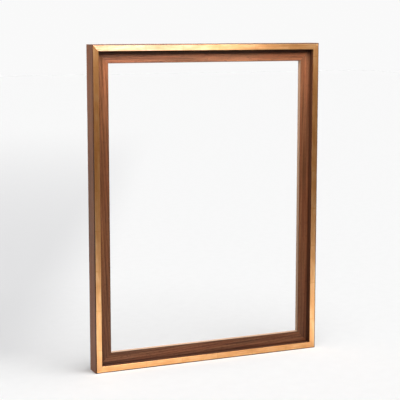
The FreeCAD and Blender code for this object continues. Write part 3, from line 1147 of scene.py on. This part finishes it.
# A black net over the top rail takes most of the close face light off its top. Only lamps see it.
net_half = frame_width / 2 - 1 * MM
net_front = face_y - 1.3 * MM
net_back = face_y + wall_depth + 5.5 * MM
net_gap = 2.5 * MM
net_thick = 0.5 * MM
net_place = Matrix.Translation((0, 0, frame_height + net_gap))
net = prism(oblong(net_half, net_front, net_back), net_place, net_thick)
net.name = "black_net"
netting, tree, shader = new_material("black_netting")
shader.inputs["Base Color"].default_value = linear("#0a0a0a")
shader.inputs["Alpha"].default_value = 0.7
net.data.materials.append(netting)
for ray in ("camera", "glossy", "diffuse", "transmission"):
    setattr(net, f"visible_{ray}", False)

# The room is white past the far edge of the paper, and dim and warm where the pieces mirror it.
world = bpy.data.worlds.new("studio")
world.use_nodes = True
bpy.context.scene.world = world
world.cycles_visibility.diffuse = False
tree = world.node_tree
tree.nodes.clear()
direction = add(tree, "ShaderNodeTexCoord").outputs["Generated"]
toward = add(tree, "ShaderNodeSeparateXYZ", {"Vector": direction})
room = add(
    tree,
    "ShaderNodeMapRange",
    {
        "Value": toward.outputs["Z"],
        "From Min": -0.12,
        "From Max": 0.02,
        "To Min": 0.2,
        "To Max": 0.34,
    },
)
seen = add(tree, "ShaderNodeLightPath").outputs["Is Camera Ray"]
level = add(
    tree,
    "ShaderNodeMix",
    {0: seen, 2: room.outputs["Result"], 3: 0.95},
    data_type="FLOAT",
)
tint = add(
    tree,
    "ShaderNodeMix",
    {0: seen, 6: linear("#ffe3bc"), 7: linear("#ffffff")},
    data_type="RGBA",
)
sky = add(tree, "ShaderNodeBackground", {"Color": tint.outputs[2], "Strength": level.outputs[0]})
add(tree, "ShaderNodeOutputWorld", {"Surface": sky.outputs[0]})


def lit_pieces(name, state, *pieces):
    """The pieces that a lamp leaves out, or the only ones that it lights."""
    group = bpy.data.collections.new(name)
    for piece in pieces:
        group.objects.link(piece)
    for row in group.collection_objects:
        row.light_linking.link_state = state
    return group


top_slip = bpy.data.objects["gilt_slip_top"]
not_on_paper = lit_pieces("not_on_paper", "EXCLUDE", paper_sheet)
not_on_top_slip = lit_pieces("not_on_top_slip", "EXCLUDE", paper_sheet, top_slip)
only_top_slip = lit_pieces("only_top_slip", "INCLUDE", top_slip)
only_paper = lit_pieces("only_paper", "INCLUDE", paper_sheet)


def lamp(name, kind, place, target, **settings):
    """A lamp that stands at place and faces target."""
    light = bpy.data.lights.new(name, kind)
    for key, value in settings.items():
        setattr(light, key, value)
    stand = bpy.data.objects.new(name, light)
    stand.location = place
    stand.rotation_euler = (Vector(target) - Vector(place)).to_track_quat("-Z", "Y").to_euler()
    bpy.context.scene.collection.objects.link(stand)
    return stand


def soft_box(name, place, target, size, power, on=not_on_paper, colour="#ffffff"):
    """A rectangular lamp, unseen itself, that lights the pieces of one group."""
    wide, high = size
    box = lamp(name, "AREA", place, target, shape="RECTANGLE", size=wide, size_y=high, energy=power)
    box.data.color = linear(colour)[:3]
    box.light_linking.receiver_collection = on
    box.visible_camera = False
    return box


# The top slip is left out of the main light and has a weaker one and a blue one in its place,
# which turn the gold under their glare to cream. The glare fades to its right, which stays gold.
face_place, face_target = (-0.17, -0.36, 1.03), (-0.17, 0, 0.64)
blue_place, blue_target = (-0.2, -0.38, 1.05), (-0.2, 0, 0.64)
soft_box("face_soft_box", face_place, face_target, (1.05, 0.4), 19, not_on_top_slip)
soft_box("gilt_soft_box", face_place, face_target, (1.05, 0.4), 10.5, only_top_slip)
soft_box("gilt_blue_box", blue_place, blue_target, (0.86, 0.4), 8, only_top_slip, "#0059ff")
# A card on the floor lights the lower faces. One far in front is seen only in gloss.
soft_box("face_floor_card", (0, -0.3, 0.004), (0, -0.3, 1), (1.2, 0.5), 1.02)
low_card = soft_box("face_low_card", (0.42, -2.0, 0.87), (0.42, 0, 0.6), (1.1, 0.36), 4)
low_card.visible_diffuse = False
soft_box("left_soft_box", (-1.5, 0.3, 1.1), (-0.25, 0, 0.45), (1.2, 0.9), 17)
soft_box("left_low_card", (-0.5, 0.06, 0.03), (-0.25, 0, 0.02), (0.3, 0.05), 0.28)
soft_box("back_soft_box", (0.5, 1.6, 1.3), (0, 0, 0.35), (1.4, 1.0), 16)
for name, place, energy, spread, group in (
    ("daylight", (1.1, 0.12, 2.3), 3.64, 66, not_on_paper),
    ("paper_daylight", (0.3, -0.9, 2.3), 3.55, 60, only_paper),
):
    sun = lamp(name, "SUN", place, (0, 0, 0), energy=energy, angle=math.radians(spread))
    sun.light_linking.receiver_collection = group

# A long lens at the front left, a little higher than the frame and turned slightly down.
lens_data = bpy.data.cameras.new("camera")
lens_data.lens = 110.7
camera = bpy.data.objects.new("camera", lens_data)
camera.location = (-1.0354, -2.2694, 0.6886)
yaw, pitch = 0.4229, -0.1416
look = Vector((math.sin(yaw) * math.cos(pitch), math.cos(yaw) * math.cos(pitch), math.sin(pitch)))
camera.rotation_euler = look.to_track_quat("-Z", "Y").to_euler()
bpy.context.scene.collection.objects.link(camera)
bpy.context.scene.camera = camera
